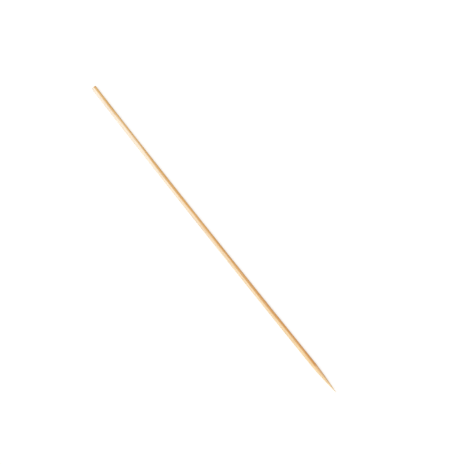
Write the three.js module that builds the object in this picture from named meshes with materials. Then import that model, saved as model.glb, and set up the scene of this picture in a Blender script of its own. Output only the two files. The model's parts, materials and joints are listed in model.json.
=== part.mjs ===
// A round bamboo skewer: one straight-grained stick with a long ground point and a square-sawn butt.
// Millimetres, +Z up. The stick lies on its side along X, point towards +X, on a floor at z = 0.
import * as THREE from 'three';

// Driving dimensions
const LENGTH = 300; // from the butt face to the tip
const WIDTH = 4.0; // across the stick, where the two half-round cutters that shaped it meet
const HEIGHT = 3.9; // between the two cutters: the shaft is a touch oval and lies on its flatter side
const POINT_LENGTH = 28; // from the shoulder, where the grinding starts, to the tip
const POINT_FULLNESS = 1.43; // 1 is a straight cone, and more is a fuller, pencil-like point
const TIP_RADIUS = 0.15; // the tip is sharp to the finger, but not a needle
const BUTT_EDGE = 0.25; // radius that tumbling has worn on the sawn edge
const BOW = 0.8; // how far the middle strays sideways from a straight stick
const BOW_SKEW = 0.4; // 0 bows evenly, and more moves the deepest place towards the butt

// Fineness of the mesh
const SIDES = 44; // narrow flats round the stick, of which one lies level under it
const EDGE_STEPS = 4; // round the butt's worn edge
const SHAFT_STEPS = 32; // along the even part of the stick
const POINT_STEPS = 28; // along the ground point
const TIP_STEPS = 4; // over the blunt tip

const RADIUS = WIDTH / 2;
const CORNER_REACH = 1 / Math.cos(Math.PI / SIDES); // puts the flats at the stated size
const BAMBOO_COLOUR = 0xe6c08a;

// A profile is a list of points (distance from the axis, distance from the butt face).

function quarterRound(centreOut, centreAlong, radius, fromAngle, steps) {
  return Array.from({ length: steps + 1 }, (_, step) => {
    const angle = fromAngle + (Math.PI / 2) * (step / steps);
    return new THREE.Vector2(
      centreOut + radius * Math.cos(angle),
      centreAlong + radius * Math.sin(angle),
    );
  });
}

// The sawn face from the axis outwards, then its worn edge, which ends level with the shaft.
function buttProfile() {
  const face = new THREE.Vector2(0, 0);
  return [face, ...quarterRound(RADIUS - BUTT_EDGE, BUTT_EDGE, BUTT_EDGE, -Math.PI / 2, EDGE_STEPS)];
}

// The even shaft between the worn edge and the shoulder of the point.
function shaftProfile() {
  const end = LENGTH - POINT_LENGTH;
  return Array.from({ length: SHAFT_STEPS - 1 }, (_, index) => {
    const share = (index + 1) / SHAFT_STEPS;
    return new THREE.Vector2(RADIUS, THREE.MathUtils.lerp(BUTT_EDGE, end, share));
  });
}

// The ground point: the radius falls slowly at the shoulder and ever faster towards the tip.
function pointProfile() {
  const start = LENGTH - POINT_LENGTH;
  const end = LENGTH - TIP_RADIUS;
  return Array.from({ length: POINT_STEPS }, (_, step) => {
    const share = step / POINT_STEPS;
    const radius = THREE.MathUtils.lerp(RADIUS, TIP_RADIUS, share ** POINT_FULLNESS);
    return new THREE.Vector2(radius, THREE.MathUtils.lerp(start, end, share));
  });
}

// The blunt tip, a quarter round that closes on the axis.
function tipProfile() {
  const cap = quarterRound(0, LENGTH - TIP_RADIUS, TIP_RADIUS, 0, TIP_STEPS);
  cap.at(-1).x = 0;
  return cap;
}

// Height of the section as a share of its width: oval on the shaft, and round by the end of the ground point.
function ovalAt(along) {
  const ground = THREE.MathUtils.clamp((along - (LENGTH - POINT_LENGTH)) / POINT_LENGTH, 0, 1);
  return THREE.MathUtils.lerp(HEIGHT / WIDTH, 1, ground);
}

// Sideways shift of the stick's axis at a distance from the butt: none at both ends, to -Y between.
function bowAt(along) {
  const share = THREE.MathUtils.clamp(along / LENGTH, 0, 1);
  return -4 * BOW * share * (1 - share) * (1 + BOW_SKEW * (0.5 - share));
}

// Presses a straight round stick along X oval, and bends it sideways.
function pressAndBend(geometry) {
  const position = geometry.getAttribute('position');
  for (let i = 0; i < position.count; i += 1) {
    const along = position.getX(i);
    position.setZ(i, position.getZ(i) * ovalAt(along));
    position.setY(i, position.getY(i) + bowAt(along));
  }
  geometry.computeVertexNormals();
}

// One closed stick: turned about its axis, laid along X on one of its flats, pressed oval and bowed.
function stickGeometry() {
  const profile = [...buttProfile(), ...shaftProfile(), ...pointProfile(), ...tipProfile()];
  const geometry = new THREE.LatheGeometry(profile, SIDES, Math.PI / SIDES);
  geometry.rotateZ(-Math.PI / 2);
  geometry.scale(1, CORNER_REACH, CORNER_REACH);
  pressAndBend(geometry);
  return geometry;
}

// The skewer lies with the middle of its outline over the origin and its underside on the floor.
function skewer() {
  const geometry = stickGeometry();
  geometry.computeBoundingBox();
  const { min, max } = geometry.boundingBox;
  const material = new THREE.MeshStandardMaterial({
    name: 'bamboo',
    color: BAMBOO_COLOUR,
    roughness: 0.55,
    metalness: 0,
  });
  const mesh = new THREE.Mesh(geometry, material);
  mesh.name = 'skewer';
  mesh.position.set(-(min.x + max.x) / 2, -(min.y + max.y) / 2, -min.z);
  return mesh;
}

const part = new THREE.Group();
part.add(skewer());

export default part;
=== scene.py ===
"""A round bamboo skewer lying on a white table, seen straight from above.

The skewer is one piece of split, planed and tumbled bamboo. Its surface is one numpy grid: rings along the
stick by columns round it, from the middle of the sawn butt to the tip. Lengths are in millimetres until the
mesh is made, and the frame's own box gives the overall size."""

import json
import math

import bpy
import numpy as np
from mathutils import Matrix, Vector


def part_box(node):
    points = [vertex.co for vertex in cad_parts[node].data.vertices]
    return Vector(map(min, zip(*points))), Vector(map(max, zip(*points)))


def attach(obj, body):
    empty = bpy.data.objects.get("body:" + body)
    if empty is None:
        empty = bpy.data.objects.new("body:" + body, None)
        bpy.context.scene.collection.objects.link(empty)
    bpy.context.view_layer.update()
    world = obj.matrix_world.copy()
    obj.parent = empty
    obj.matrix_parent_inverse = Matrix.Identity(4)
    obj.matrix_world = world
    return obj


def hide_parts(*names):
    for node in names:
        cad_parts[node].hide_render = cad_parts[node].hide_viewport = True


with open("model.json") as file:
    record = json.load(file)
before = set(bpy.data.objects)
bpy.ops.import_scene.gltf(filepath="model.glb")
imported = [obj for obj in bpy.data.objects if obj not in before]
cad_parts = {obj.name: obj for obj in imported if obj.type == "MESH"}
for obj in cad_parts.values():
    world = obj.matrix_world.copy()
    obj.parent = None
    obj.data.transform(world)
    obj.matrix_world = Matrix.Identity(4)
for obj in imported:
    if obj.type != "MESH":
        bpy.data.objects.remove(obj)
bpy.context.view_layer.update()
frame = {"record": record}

MM = 0.001
TURN = 2 * math.pi
SEED = 7

# The stick, with the sizes of the solid that it stands for
low, high = (np.array(corner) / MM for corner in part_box("skewer"))
LENGTH, _, HEIGHT = high - low
WIDTH = 4.0
RADIUS = WIDTH / 2
BOW = 0.8
BOW_SKEW = 0.4
POINT_LENGTH = 28.0
POINT_FULLNESS = 1.43
TIP_RADIUS = 0.15
BUTT_EDGE = 0.25
AXIS_START = np.array(frame["record"]["mounts"][0]["pos_m"]) / MM

# Fineness of the surface
COLUMNS = 180
FACE_RINGS = 44
EDGE_RINGS = 9
NEAR_BUTT = 3.0  # up to here the rings are closer, for the nicks in the sawn edge
NEAR_RINGS = 28
SHAFT_RINGS = 300
POINT_RINGS = 120
TIP_RINGS = 6

# The surface laid out flat on a square of side 1: the stick's side in lengths one above the other, and the
# sawn face below
LENGTHS = 3
FACE_PART = 0.16  # height of the strip that the face gets
LAYOUT_GAP = 0.008

# The wood
BUNDLE_SPACING = 0.50  # between the fibre bundles that show as dots on the butt
BUNDLE_RADIUS = (0.10, 0.19)  # least and most
BUNDLE_EDGE = 1.6  # a bundle has faded out at this many of its radii
BUNDLE_JITTER = 0.24  # how far one strays from its place in the grid, as a share of the spacing
BUNDLE_SPREAD = 1.8  # how far their grid reaches, in radii of the stick, as the grain drifts across it
RIND_CROWDING = 0.12  # how far a bundle at the rind is moved inwards, as a share of the stick's radius
RIND_THINNING = 0.2  # and how much thinner it is, as a share of its own
GRAIN_DRIFT = (0.9, -0.6)  # how far the grain runs off the axis over the whole length, as (y, z)
GRAIN_WANDER = 0.10  # and how far it strays from that straight run on its way
RIND_AND_SHADED_SIDE = np.array([0.97, 0.24])  # the side that lay nearest the culm's skin, as (y, z); also the side in painted shade, away from the window

# Marks of the cutters, the grinding and the saw
RIDGE_COUNTS = (19, 26, 33, 41, 45)  # fine ridges round the stick, in sets that drift past each other
FLAT_COUNT = 11  # faint flats round the stick
CHATTER_SPACING = 9.0
GROOVES = 40
GROOVE_ENDS = (8, 10)  # none has its middle nearer the butt, or the tip
GROOVE_HALF_LENGTH = (2, 14)  # least and most, as for the three ranges below
GROOVE_HALF_WIDTH = (0.06, 0.12)
GROOVE_LEAN = 0.004  # typical turn about the stick, in radians for each millimetre along it
SHALLOWEST_GROOVE = 0.35  # as a share of the deepest
NICKS = 9
NICK_HALF_WIDTH = (0.10, 0.26)
NICK_REACH = (0.12, 0.34)  # from the corner of the face and the side
NICK_STRETCH = 0.6  # a distance along the side counts only this much, so they reach further there
SMALLEST_NICK = 0.4  # as a share of the deepest
GRIND_SLANT = 1.3  # how far the line where the grinding starts leans
GRIND_WAVE = 0.5  # and how far it wavers
GRIND_FADE = 2.2  # length over which the ground look sets in
SAWN_REACH = 0.22  # how far round its worn edge the face still looks sawn
SAWN_RIM = (0.02, 0.20)  # from the outside of the stick, and the width in which the sawn look fades
SAW_SPACINGS = (0.32, 0.21)  # real strokes are closer, and these are as coarse as they need to be to show
SAW_WAY = (0.94, 0.34)  # across the strokes, as (y, z)
SAW_CURVE = 0.03  # how much they curve

# Depths of the relief
PLANING_FLATS = 0.010
CHATTER = 0.008
SOFT_WOOD = 0.012  # the pale wood between the bundles wears this much lower
FIBRE_RIDGES = 0.014
TORN_FIBRE = 0.045
EDGE_NICK = 0.16
SAW_MARKS = 0.032

# Colours of the wood, each near the butt and near the point: pale and partly painted light on the pith side,
# honey and partly painted shade on the rind side, and paler near the butt by painted light
PITH_AND_LIT_COLOURS = ("#f9f4e8", "#edce97")
RIND_AND_SHADED_COLOURS = ("#ecbe72", "#d89444")
SIDE_BLEND = (0.0, 0.64)  # where the pith's colour and its painted light end and the rind's colour and its painted shade start, as shares of the radius
SIDE_SHIFT = (-0.23, 0.26)  # how much further the rind's colour and its painted shade reach near the butt and near the point
MOTTLE = 0.8  # how much the slow changes of tone move that boundary

# The table: how white it is for light on its way, and what the camera sees of it, partly as a glow
LIT_WHITE = 0.85
SEEN_WHITE = 0.30
SEEN_GLOW = 0.74
TABLE_SIDE = 6.0  # metres

# The light, where level 1 lights a white surface to white
ROOM_LEVEL = 0.62
WINDOW_LEVEL = 0.54
WINDOW_BREADTH = math.radians(32)
WINDOW_WAY = (-0.65, 0.10, 1.05)  # towards it: the picture's right and top, and straight up

# The picture, in pixels, and where both ends of the stick lie in it
PICTURE_SIDE = 465
BUTT_PIXEL = (93.6, 87.3)
TIP_PIXEL = (336.0, 392.4)
FOCAL_LENGTH = 85.0  # millimetres, as is the width of the sensor
SENSOR_WIDTH = 36.0


def smooth(value):
    """An even ramp from 0 to 1 with level ends, from a value that is cut to that range."""
    cut = np.clip(value, 0, 1)
    return cut * cut * (3 - 2 * cut)


def profile():
    """Along and out for each ring: up the flat sawn face, round its worn edge by a quarter circle, along
    the even shaft, down the point, whose radius falls as share ** POINT_FULLNESS, and over the tip by a
    quarter circle."""
    turn = np.linspace(0, TURN / 4, EDGE_RINGS)[1:]
    shoulder = LENGTH - POINT_LENGTH
    near = np.linspace(BUTT_EDGE, NEAR_BUTT, NEAR_RINGS)[1:]
    shaft = np.linspace(NEAR_BUTT, shoulder, SHAFT_RINGS)[1:]
    share = np.linspace(0, 1, POINT_RINGS)[1:]
    over = np.linspace(0, TURN / 4, TIP_RINGS)[1:]
    along = [
        np.zeros(FACE_RINGS),
        BUTT_EDGE * (1 - np.cos(turn)),
        near,
        shaft,
        shoulder + (POINT_LENGTH - TIP_RADIUS) * share,
        LENGTH - TIP_RADIUS * (1 - np.sin(over)),
    ]
    out = [
        np.linspace(0, RADIUS - BUTT_EDGE, FACE_RINGS),
        RADIUS - BUTT_EDGE * (1 - np.sin(turn)),
        np.full(len(near) + len(shaft), RADIUS),
        RADIUS + (TIP_RADIUS - RADIUS) * share**POINT_FULLNESS,
        TIP_RADIUS * np.cos(over),
    ]
    return np.concatenate(along), np.concatenate(out)


def outward(along, out):
    """The profile's outward direction at each ring, as along and out parts."""
    step_along, step_out = np.gradient(along[:, 0]), np.gradient(out[:, 0])
    size = np.hypot(step_along, step_out)
    return (-step_out / size)[:, None], (step_along / size)[:, None]


def bow(along):
    """Sideways shift of the axis: a parabola, nothing at both ends and deepest a little nearer the butt."""
    share = np.clip(along / LENGTH, 0, 1)
    return -4 * BOW * share * (1 - share) * (1 + BOW_SKEW * (0.5 - share))


def waves(position, rng, lengths, height):
    """A wandering line: sines of the given lengths with random phases, added and brought to about this
    height."""
    phases = rng.uniform(0, TURN, len(lengths))
    total = sum(np.sin(TURN * position / length + phase) for length, phase in zip(lengths, phases))
    return height * total / math.sqrt(len(lengths))


def arc_from(angle, place):
    """Distance round the stick from a place on it, the short way and signed."""
    return RADIUS * ((angle - place + TURN / 2) % TURN - TURN / 2)


def fibre_bundles(rng):
    """Centres and radii of the bundles in the section: a staggered grid, jittered, with smaller and denser
    bundles towards the rind, as in a culm's wall."""
    reach = int(RADIUS * BUNDLE_SPREAD / BUNDLE_SPACING)
    steps = np.arange(-reach, reach + 1)
    row, column = np.meshgrid(steps, steps, indexing="ij")
    centres = np.stack([column + 0.5 * (row % 2), row * math.sqrt(0.75)], -1).reshape(-1, 2)
    centres = (centres + rng.uniform(-BUNDLE_JITTER, BUNDLE_JITTER, centres.shape)) * BUNDLE_SPACING
    towards_rind_and_shade = centres @ RIND_AND_SHADED_SIDE / RADIUS
    centres -= np.outer(RIND_CROWDING * towards_rind_and_shade**2 * RADIUS, RIND_AND_SHADED_SIDE)
    least, most = BUNDLE_RADIUS
    thinned = 1 - RIND_THINNING * np.clip(towards_rind_and_shade, -1, 1)
    radii = rng.uniform(least, most, len(centres)) * thinned
    return centres, radii


def bundle_mask(section, rng):
    """1 at the heart of a bundle and 0 outside all of them, from each point's distance to every bundle's
    centre as a share of its radius, with a soft edge."""
    mask = np.zeros(section.shape[:-1])
    for centre, radius in zip(*fibre_bundles(rng)):
        share = np.linalg.norm(section - centre, axis=-1) / (BUNDLE_EDGE * radius)
        mask = np.maximum(mask, smooth(1 - share))
    return mask


def torn_grooves(along, angle, rng):
    """Where the cutters tore a fibre out: narrow troughs that run with the grain, each a bell across the
    stick times a flat-topped bell along it. 1 is the bottom of the deepest."""
    found = np.zeros(np.broadcast(along, angle).shape)
    near_butt, near_tip = GROOVE_ENDS
    for _ in range(GROOVES):
        middle = rng.uniform(near_butt, LENGTH - near_tip)
        half_length = rng.uniform(*GROOVE_HALF_LENGTH)
        place = rng.uniform(0, TURN) + rng.normal(0, GROOVE_LEAN) * (along - middle)
        across = arc_from(angle, place) / rng.uniform(*GROOVE_HALF_WIDTH)
        bell = np.exp(-(across**2) - ((along - middle) / half_length) ** 4)
        found = np.maximum(found, rng.uniform(SHALLOWEST_GROOVE, 1) * bell)
    return found


def edge_nicks(along, out, angle, rng):
    """Small splinters broken out of the butt's edge: bells round an angle that fade with the distance from
    the sharp corner that the face and the side would make."""
    found = np.zeros(np.broadcast(along, angle).shape)
    corner = np.hypot(NICK_STRETCH * along, RADIUS - out)
    for _ in range(NICKS):
        across = arc_from(angle, rng.uniform(0, TURN)) / rng.uniform(*NICK_HALF_WIDTH)
        bell = np.exp(-(across**2) - (corner / rng.uniform(*NICK_REACH)) ** 2)
        found = np.maximum(found, rng.uniform(SMALLEST_NICK, 1) * bell)
    return found


def cutter_marks(along, angle, rng):
    """Depth of the marks on the planed side: a cosine round the stick for the flats, and a sine along it
    for the chatter, both shifted by slow waves."""
    flats = 0.5 - 0.5 * np.cos(FLAT_COUNT * angle + waves(along, rng, (61, 89, 143), 0.5))
    shift = 2 * np.sin(angle + 0.7) + waves(along, rng, (37, 71), 0.8)
    chatter = 0.5 + 0.5 * np.sin(TURN * along / CHATTER_SPACING + shift)
    return PLANING_FLATS * flats + CHATTER * chatter


def fibre_ridges(along, angle, rng):
    """Fine ridges with the grain, from 0 to 1: cosines of whole counts round the stick, each shifted by a
    slow wave along it, so that the ridges part and join."""
    total = 0
    for count in RIDGE_COUNTS:
        shift = rng.uniform(0, TURN) + waves(along, rng, (41, 67, 113), 2.2)
        total = total + np.cos(count * angle + shift)
    return 0.5 + 0.5 * total / len(RIDGE_COUNTS)


def saw_strokes(across, upright):
    """Slightly curved strokes over the sawn face, from 0 to 1: sines of two spacings added."""
    place = SAW_WAY[0] * across + SAW_WAY[1] * upright + SAW_CURVE * upright**2
    wide, narrow = (np.sin(TURN * place / spacing) for spacing in SAW_SPACINGS)
    return 0.5 + 0.28 * wide + 0.22 * narrow


def ground_part(along, angle):
    """1 on the ground point and 0 before it. The grinding starts on a slanting, wavy line round the stick:
    a cosine of the angle plus a cosine of twice the angle."""
    slant = GRIND_SLANT * np.cos(angle - 1.1) + GRIND_WAVE * np.cos(2 * angle + 0.4)
    return smooth((along - (LENGTH - POINT_LENGTH + slant)) / GRIND_FADE)


def sawn_part(along, out):
    """1 on the sawn face, falling to 0 round its worn edge."""
    margin, fade = SAWN_RIM
    return smooth(1 - along / SAWN_REACH) * smooth((RADIUS - margin - out) / fade)


def stick_surface():
    """Points, places in the grain and surface values on the grid. A ring's points lie at out from the axis,
    moved inwards along the profile's normal by the relief, pressed oval and shifted sideways by the bow."""
    rng = np.random.default_rng(SEED)
    along, out = (values[:, None] for values in profile())
    angle = np.linspace(0, TURN, COLUMNS, endpoint=False)[None, :]
    pointed = np.clip((along - LENGTH + POINT_LENGTH) / POINT_LENGTH, 0, 1)
    oval = HEIGHT / WIDTH + (1 - HEIGHT / WIDTH) * pointed
    across, upright = out * np.sin(angle), out * np.cos(angle) * oval
    ground = ground_part(along, angle)
    sawn = sawn_part(along, out)

    # Places in the straight wood before it was cut, so that a pattern in them runs with the fibres
    drift = along / LENGTH - 0.5
    y = across - GRAIN_DRIFT[0] * drift - waves(along, rng, (97, 151, 233), GRAIN_WANDER)
    z = upright - GRAIN_DRIFT[1] * drift - waves(along, rng, (83, 139, 211), GRAIN_WANDER)
    section = np.stack([y, z], -1)
    grain = np.concatenate([np.broadcast_to(along, across.shape)[..., None], section], -1)

    bundle = bundle_mask(section, rng)
    groove = torn_grooves(along, angle, rng) * (1 - sawn)
    nick = edge_nicks(along, out, angle, rng)
    planed = cutter_marks(along, angle, rng) * (1 - ground)
    ridges = fibre_ridges(along, angle, rng) * out / RADIUS
    stroke = saw_strokes(across, upright) * sawn

    relief = (1 - sawn) * (planed + FIBRE_RIDGES * ridges) + SOFT_WOOD * (1 - bundle)
    relief = relief + SAW_MARKS * stroke + TORN_FIBRE * groove + EDGE_NICK * nick
    outward_along, outward_out = outward(along, out)
    moved_out = np.maximum(out - outward_out * relief, 0)
    x = AXIS_START[0] + along - outward_along * relief
    y = AXIS_START[1] + moved_out * np.sin(angle) + bow(along)
    z = AXIS_START[2] + moved_out * np.cos(angle) * oval

    values = {
        "bundle": bundle,
        "groove": groove,
        "ground": ground,
        "sawn": sawn,
        "stroke": stroke,
        "nick": nick,
        # how far towards the rind, whose colour carries painted shade
        "towards_rind_and_shade": section @ RIND_AND_SHADED_SIDE / RADIUS,
    }
    values = {name: np.broadcast_to(value, across.shape) for name, value in values.items()}
    return np.stack([x, y, z], -1), grain, values


def corners(rings, columns):
    """Rings and columns of the corners of every face, in order, and how many each face has: a fan round
    the first point, quads, and a fan round the last. Faces look outwards. The column counts on past the
    seam."""
    around = np.arange(columns)[:, None]
    row, place = np.meshgrid(np.arange(1, rings - 2), around, indexing="ij")
    ring = [
        np.tile([0, 1, 1], columns),
        (row[..., None] + [0, 1, 1, 0]).ravel(),
        np.tile([rings - 2, rings - 1, rings - 2], columns),
    ]
    column = [
        (around + [0.5, 0, 1]).ravel(),
        (place[..., None] + [0, 0, 1, 1]).ravel(),
        (around + [0, 0.5, 1]).ravel(),
    ]
    sizes = np.repeat([3, 4, 3], [columns, row.size, columns])
    return np.concatenate(ring), np.concatenate(column), sizes


def laid_flat(ring, column, first):
    """Each corner's place on the flat layout, where first is the ring that its face starts from. The sawn
    face is a disc. The side is slit along the seam and cut into lengths, by distance along the profile. The
    last face of a length may reach a little past its end, where the gap is therefore twice as wide."""
    along, out = profile()
    edge = FACE_RINGS - 1
    run = np.cumsum(np.hypot(np.diff(along, prepend=0), np.diff(out, prepend=0)))
    run = (run - run[edge]) / (run[-1] - run[edge]) * LENGTHS
    length = np.clip(run[first].astype(int), 0, LENGTHS - 1)
    height = (1 - FACE_PART) / LENGTHS
    side_u = LAYOUT_GAP + (1 - 3 * LAYOUT_GAP) * (run[ring] - length)
    side_v = FACE_PART + height * length + LAYOUT_GAP / 2 + (height - LAYOUT_GAP) * column / COLUMNS
    angle = TURN * column / COLUMNS
    disc = (FACE_PART / 2 - LAYOUT_GAP) * out[ring] / out[edge]
    u = np.where(first < edge, FACE_PART / 2 + disc * np.cos(angle), side_u)
    v = np.where(first < edge, FACE_PART / 2 + disc * np.sin(angle), side_v)
    return np.stack([u, v], -1)


def closed_tube(name, points, grain, values):
    """A mesh from a grid whose first and last rings are single points. grain and values become attributes
    of its points, and the flat layout becomes the map that a bake can use."""
    rings, columns = points.shape[:2]
    last = 1 + (rings - 2) * columns

    def flat(array):
        middle = array[1:-1].reshape(-1, *array.shape[2:])
        return np.concatenate([array[:1, 0], middle, array[-1:, 0]]).astype(np.float32)

    ring, column, sizes = corners(rings, columns)
    starts = np.cumsum(sizes) - sizes
    within = 1 + (ring - 1) * columns + column.astype(int) % columns
    index = np.select([ring == 0, ring == rings - 1], [0, last], within)

    mesh = bpy.data.meshes.new(name)
    mesh.vertices.add(last + 1)
    mesh.vertices.foreach_set("co", flat(points * MM).ravel())
    mesh.loops.add(len(index))
    mesh.loops.foreach_set("vertex_index", index.astype(np.int32))
    mesh.polygons.add(len(sizes))
    mesh.polygons.foreach_set("loop_start", starts.astype(np.int32))
    layout = laid_flat(ring, column, np.repeat(ring[starts], sizes))
    mesh.uv_layers.new(name="OFBake").data.foreach_set("uv", layout.astype(np.float32).ravel())
    mesh.attributes.new("grain", "FLOAT_VECTOR", "POINT").data.foreach_set("vector", flat(grain).ravel())
    for key, value in values.items():
        mesh.attributes.new(key, "FLOAT", "POINT").data.foreach_set("value", flat(value).ravel())
    mesh.update(calc_edges=True)
    mesh.shade_smooth()
    return mesh


def linear(colour):
    """An sRGB hex colour as the linear values that Blender works in, and full cover."""
    parts = (int(colour[i : i + 2], 16) / 255 for i in (1, 3, 5))
    return (*(p / 12.92 if p <= 0.04045 else ((p + 0.055) / 1.055) ** 2.4 for p in parts), 1.0)


def add(tree, kind, inputs=None, **settings):
    """Adds a node with its settings. An input goes by its place, or by the name of a socket that the
    settings leave in use, and gets a value, an output, or a node, which stands for its first output in
    use."""
    node = tree.nodes.new("ShaderNode" + kind)
    for name, value in settings.items():
        setattr(node, name, value)
    for key, value in (inputs or {}).items():
        named = [socket for socket in node.inputs if socket.enabled and socket.name == key]
        target = named[0] if named else node.inputs[key]
        if isinstance(value, bpy.types.Node):
            value = next(output for output in value.outputs if output.enabled)
        if isinstance(value, bpy.types.NodeSocket):
            tree.links.new(value, target)
        else:
            target.default_value = value
    return node


def new_material(name):
    """An empty node material, and its node tree."""
    material = bpy.data.materials.new(name)
    material.use_nodes = True
    material.node_tree.nodes.clear()
    return material, material.node_tree


def streaks(tree, grain, length, thickness, detail=2.0, offset=0.0):
    """A noise drawn out with the grain: length along the stick and thickness across it, in millimetres.
    Another offset gives another stretch of it."""
    scale = (1 / length, 1 / thickness, 1 / thickness)
    placed = add(tree, "Mapping", {"Vector": grain, "Location": (offset, offset, 0), "Scale": scale})
    return add(tree, "TexNoise", {"Vector": placed, "Scale": 1.0, "Detail": detail, "Roughness": 0.55})


def bamboo_base(tree, along, towards_rind_and_shade, tone):
    """Colour before the fibres, and how far it is towards the rind and its painted shade. The wood is pale
    on the pith side, partly painted light, and honey on the rind side, partly painted shade, and both are a
    little deeper away from the butt, which is a painted falloff of the light."""
    # Deeper away from the butt: a painted falloff of the light along the stick
    depth = add(tree, "MapRange", {"Value": along, "From Max": LENGTH})
    pith_and_lit, rind_and_shaded = (
        add(tree, "Mix", {"Factor": depth, "A": linear(near), "B": linear(far)}, data_type="RGBA")
        for near, far in (PITH_AND_LIT_COLOURS, RIND_AND_SHADED_COLOURS)
    )
    near, far = SIDE_SHIFT
    shift = add(tree, "MapRange", {"Value": along, "From Max": LENGTH, "To Min": near, "To Max": far})
    mottle = add(tree, "Math", {0: tone, 1: MOTTLE, 2: -MOTTLE / 2}, operation="MULTIPLY_ADD")
    side = add(tree, "Math", {0: mottle, 1: shift}, operation="ADD")
    side = add(tree, "Math", {0: side, 1: towards_rind_and_shade}, operation="ADD")
    # The pale side is partly painted light and the honey side partly painted shade
    start, end = SIDE_BLEND
    ramp = {"Value": side, "From Min": start, "From Max": end}
    blend = add(tree, "MapRange", ramp, interpolation_type="SMOOTHSTEP")
    return add(tree, "Mix", {"Factor": blend, "A": pith_and_lit, "B": rind_and_shaded}, data_type="RGBA"), blend


def planed_bamboo():
    """Split bamboo, planed round and tumbled: pale straw wood with darker fibre bundles that show as
    streaks along the stick and as dots on the sawn end. Satin where it is tumbled, and duller where it is
    ground or sawn."""
    material, tree = new_material("planed_bamboo")
    grain = add(tree, "Attribute", attribute_name="grain").outputs["Vector"]
    along = add(tree, "SeparateXYZ", {"Vector": grain}).outputs["X"]
    on = {
        name: add(tree, "Attribute", attribute_name=name).outputs["Fac"]
        for name in ("bundle", "groove", "ground", "sawn", "stroke", "nick", "towards_rind_and_shade")
    }

    # Fibres are hundredths of a millimetre thick, and are drawn several times thicker, so that they show.
    tone = streaks(tree, grain, 45, 2.4)
    bands = streaks(tree, grain, 60, 0.75, offset=3.0)
    fibres = streaks(tree, grain, 20, 0.10, detail=3.0, offset=7.0)
    threads = streaks(tree, grain, 7, 0.045, detail=1.0, offset=5.0)
    pores = streaks(tree, grain, 1.6, 0.04, detail=0.0, offset=9.0)
    presence = streaks(tree, grain, 26, 0.6, offset=11.0)
    scratches = streaks(tree, grain, 0.09, 1.6, detail=1.0, offset=13.0)  # round the ground point

    def part(value, start, end, most, of=1.0):
        """Rises from nothing at start to most at end, as a share of another value."""
        ramp = {"Value": value, "From Min": start, "From Max": end, "To Max": most}
        return add(tree, "Math", {0: add(tree, "MapRange", ramp), 1: of}, operation="MULTIPLY")

    # Pale pith side partly painted light, honey rind side partly painted shade
    colour, blend = bamboo_base(tree, along, on["towards_rind_and_shade"], tone)
    layers = [
        ("#d9a660", part(bands, 0.50, 0.72, 0.35)),  # broad bands of denser wood
        ("#b07c3e", part(presence, 0.35, 0.62, 0.50, on["bundle"])),  # fibre bundles, here more, there less
        ("#fff3d8", part(fibres, 0.52, 0.70, 0.45)),  # painted highlight on the raised fibres
        ("#c4924f", part(fibres, 0.47, 0.28, 0.38)),  # and painted shade on the lower ones between them
        ("#a87840", part(threads, 0.57, 0.70, 0.42)),  # single dark fibres
        ("#8a5c32", part(pores, 0.62, 0.74, 0.60, on["bundle"])),  # vessels that the cutters opened
        ("#f6e3bf", part(on["ground"], 0, 1, 0.30)),  # paler fresh wood on the point, partly a painted highlight
        ("#8f5c2b", part(on["groove"], 0, 1, 0.60)),  # dust and shade in the torn grooves
        ("#d7a566", part(on["sawn"], 0, 1, 0.50)),  # end grain, which is darker than the side
        ("#a9773f", part(on["stroke"], 0.45, 0.95, 0.42)),  # strokes of the saw
        ("#7d5230", part(on["bundle"], 0.25, 0.80, 0.75, on["sawn"])),  # bundles cut across, as dark dots
        ("#c9803c", part(along, 1.5, 0.1, 0.48, blend)),  # darker orange over the last 1.5 mm at the butt, on the rind side, partly painted shade
        ("#8a562a", part(on["nick"], 0, 1, 0.50)),  # darker in the nicks
    ]
    for shade, amount in layers:
        colour = add(tree, "Mix", {"Factor": amount, "A": colour, "B": linear(shade)}, data_type="RGBA")

    # Satin on the side, smoother between its fibres than on them, and duller on the point and the face
    rough = add(tree, "Math", {0: fibres, 1: 0.40, 2: 0.26}, operation="MULTIPLY_ADD")
    rough = add(tree, "Math", {0: on["ground"], 1: 0.14, 2: rough}, operation="MULTIPLY_ADD")
    rough = add(tree, "Math", {0: on["sawn"], 1: 0.28, 2: rough}, operation="MULTIPLY_ADD")

    # Relief finer than the mesh: fibres and threads everywhere, and scratches round the point
    height = add(tree, "Math", {0: threads, 1: 0.6, 2: fibres}, operation="MULTIPLY_ADD")
    scratched = part(scratches, 0.3, 0.7, 0.5, on["ground"])
    height = add(tree, "Math", {0: scratched, 1: height}, operation="ADD")
    bump = add(tree, "Bump", {"Strength": 0.5, "Distance": 0.03 * MM, "Height": height})
    wood = {"Base Color": colour, "Roughness": rough, "Normal": bump, "IOR": 1.53}
    add(tree, "OutputMaterial", {"Surface": add(tree, "BsdfPrincipled", wood)})
    return material


def looked_at(tree):
    """1 for what the camera sees, straight, in a reflection or through glass, and 0 for light on its way."""
    path = add(tree, "LightPath").outputs
    seen = add(tree, "Math", {0: path["Is Camera Ray"], 1: path["Is Glossy Ray"]}, operation="MAXIMUM")
    return add(tree, "Math", {0: seen, 1: path["Is Transmission Ray"]}, operation="MAXIMUM")


def white_table():
    """A matt white laminate. What the camera sees of it is lifted to paper white and keeps soft shadows."""
    material, tree = new_material("white_table")
    seen = looked_at(tree)
    white = add(tree, "MapRange", {"Value": seen, "To Min": LIT_WHITE, "To Max": SEEN_WHITE})
    glow = add(tree, "MapRange", {"Value": seen, "To Min": 0.0, "To Max": SEEN_GLOW})
    matt = add(tree, "BsdfDiffuse", {"Color": white})
    lift = add(tree, "Emission", {"Color": (1, 1, 1, 1), "Strength": glow})
    add(tree, "OutputMaterial", {"Surface": add(tree, "AddShader", {0: matt, 1: lift})})
    return material


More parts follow.
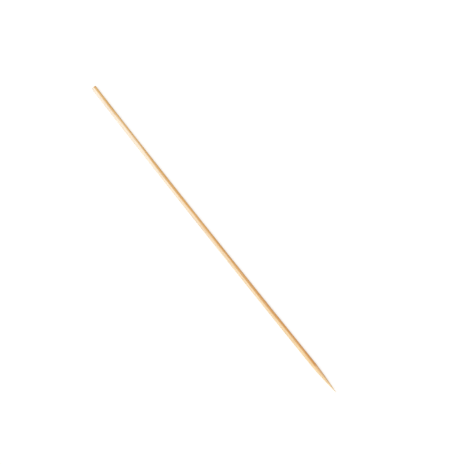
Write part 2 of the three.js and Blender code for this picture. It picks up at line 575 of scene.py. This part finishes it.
def table():
    """A square, level with the stick's underside."""
    square = TABLE_SIDE / 2 * np.array([[-1, -1, 0], [1, -1, 0], [1, 1, 0], [-1, 1, 0]])
    mesh = bpy.data.meshes.new("table")
    mesh.from_pydata(square, [], [(0, 1, 2, 3)])
    mesh.materials.append(white_table())
    top = bpy.data.objects.new("table", mesh)
    bpy.context.collection.objects.link(top)
    return top


def white_room():
    """Even light from all round, which the camera and reflections see as white."""
    world = bpy.data.worlds.new("white_room")
    bpy.context.scene.world = world
    world.use_nodes = True
    tree = world.node_tree
    tree.nodes.clear()
    light = add(tree, "Background", {"Color": linear("#fffaf4"), "Strength": ROOM_LEVEL})
    white = add(tree, "Background", {"Color": (1, 1, 1, 1), "Strength": 1.0})
    add(tree, "OutputWorld", {"Surface": add(tree, "MixShader", {0: looked_at(tree), 1: light, 2: white})})


def far_window(away):
    """Even light from one direction, as broad as a large window some way off."""
    lamp = bpy.data.lights.new("window", "SUN")
    lamp.angle = WINDOW_BREADTH
    lamp.energy = WINDOW_LEVEL * math.pi
    lamp.color = linear("#fffdf8")[:3]
    holder = bpy.data.objects.new("window", lamp)
    holder.location = away
    holder.rotation_euler = away.to_track_quat("Z", "Y").to_euler()
    bpy.context.collection.objects.link(holder)


def overhead_camera(butt, tip):
    """Looks straight down, and is turned and placed so that both ends fall on their pixels. Returns the
    directions of the picture's right and top on the table."""
    run = Vector(TIP_PIXEL) - Vector(BUTT_PIXEL)
    turn = math.atan2(run.y, run.x)
    right, top = Vector((math.cos(turn), math.sin(turn), 0)), Vector((-math.sin(turn), math.cos(turn), 0))
    pixel = (tip - butt).length / run.length
    across, upwards = PICTURE_SIDE / 2 - BUTT_PIXEL[0], BUTT_PIXEL[1] - PICTURE_SIDE / 2
    centre = butt + pixel * (across * right + upwards * top)
    distance = PICTURE_SIDE * pixel * FOCAL_LENGTH / SENSOR_WIDTH
    lens = bpy.data.cameras.new("overhead")
    lens.lens, lens.sensor_width = FOCAL_LENGTH, SENSOR_WIDTH
    camera = bpy.data.objects.new("overhead", lens)
    camera.location = centre + Vector((0, 0, distance))
    camera.rotation_euler = (0, 0, turn)
    bpy.context.collection.objects.link(camera)
    bpy.context.scene.camera = camera
    return right, top


butt_point = Vector(AXIS_START * MM)
tip_point = butt_point + Vector((LENGTH * MM, 0, 0))
right, top = overhead_camera(butt_point, tip_point)

skewer_mesh = closed_tube("bamboo_skewer", *stick_surface())
skewer_mesh.materials.append(planed_bamboo())
skewer = bpy.data.objects.new("bamboo_skewer", skewer_mesh)
bpy.context.collection.objects.link(skewer)
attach(skewer, "root")
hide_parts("skewer")

table()
white_room()
far_window(WINDOW_WAY[0] * right + WINDOW_WAY[1] * top + Vector((0, 0, WINDOW_WAY[2])))

bpy.context.scene.view_settings.view_transform = "Standard"
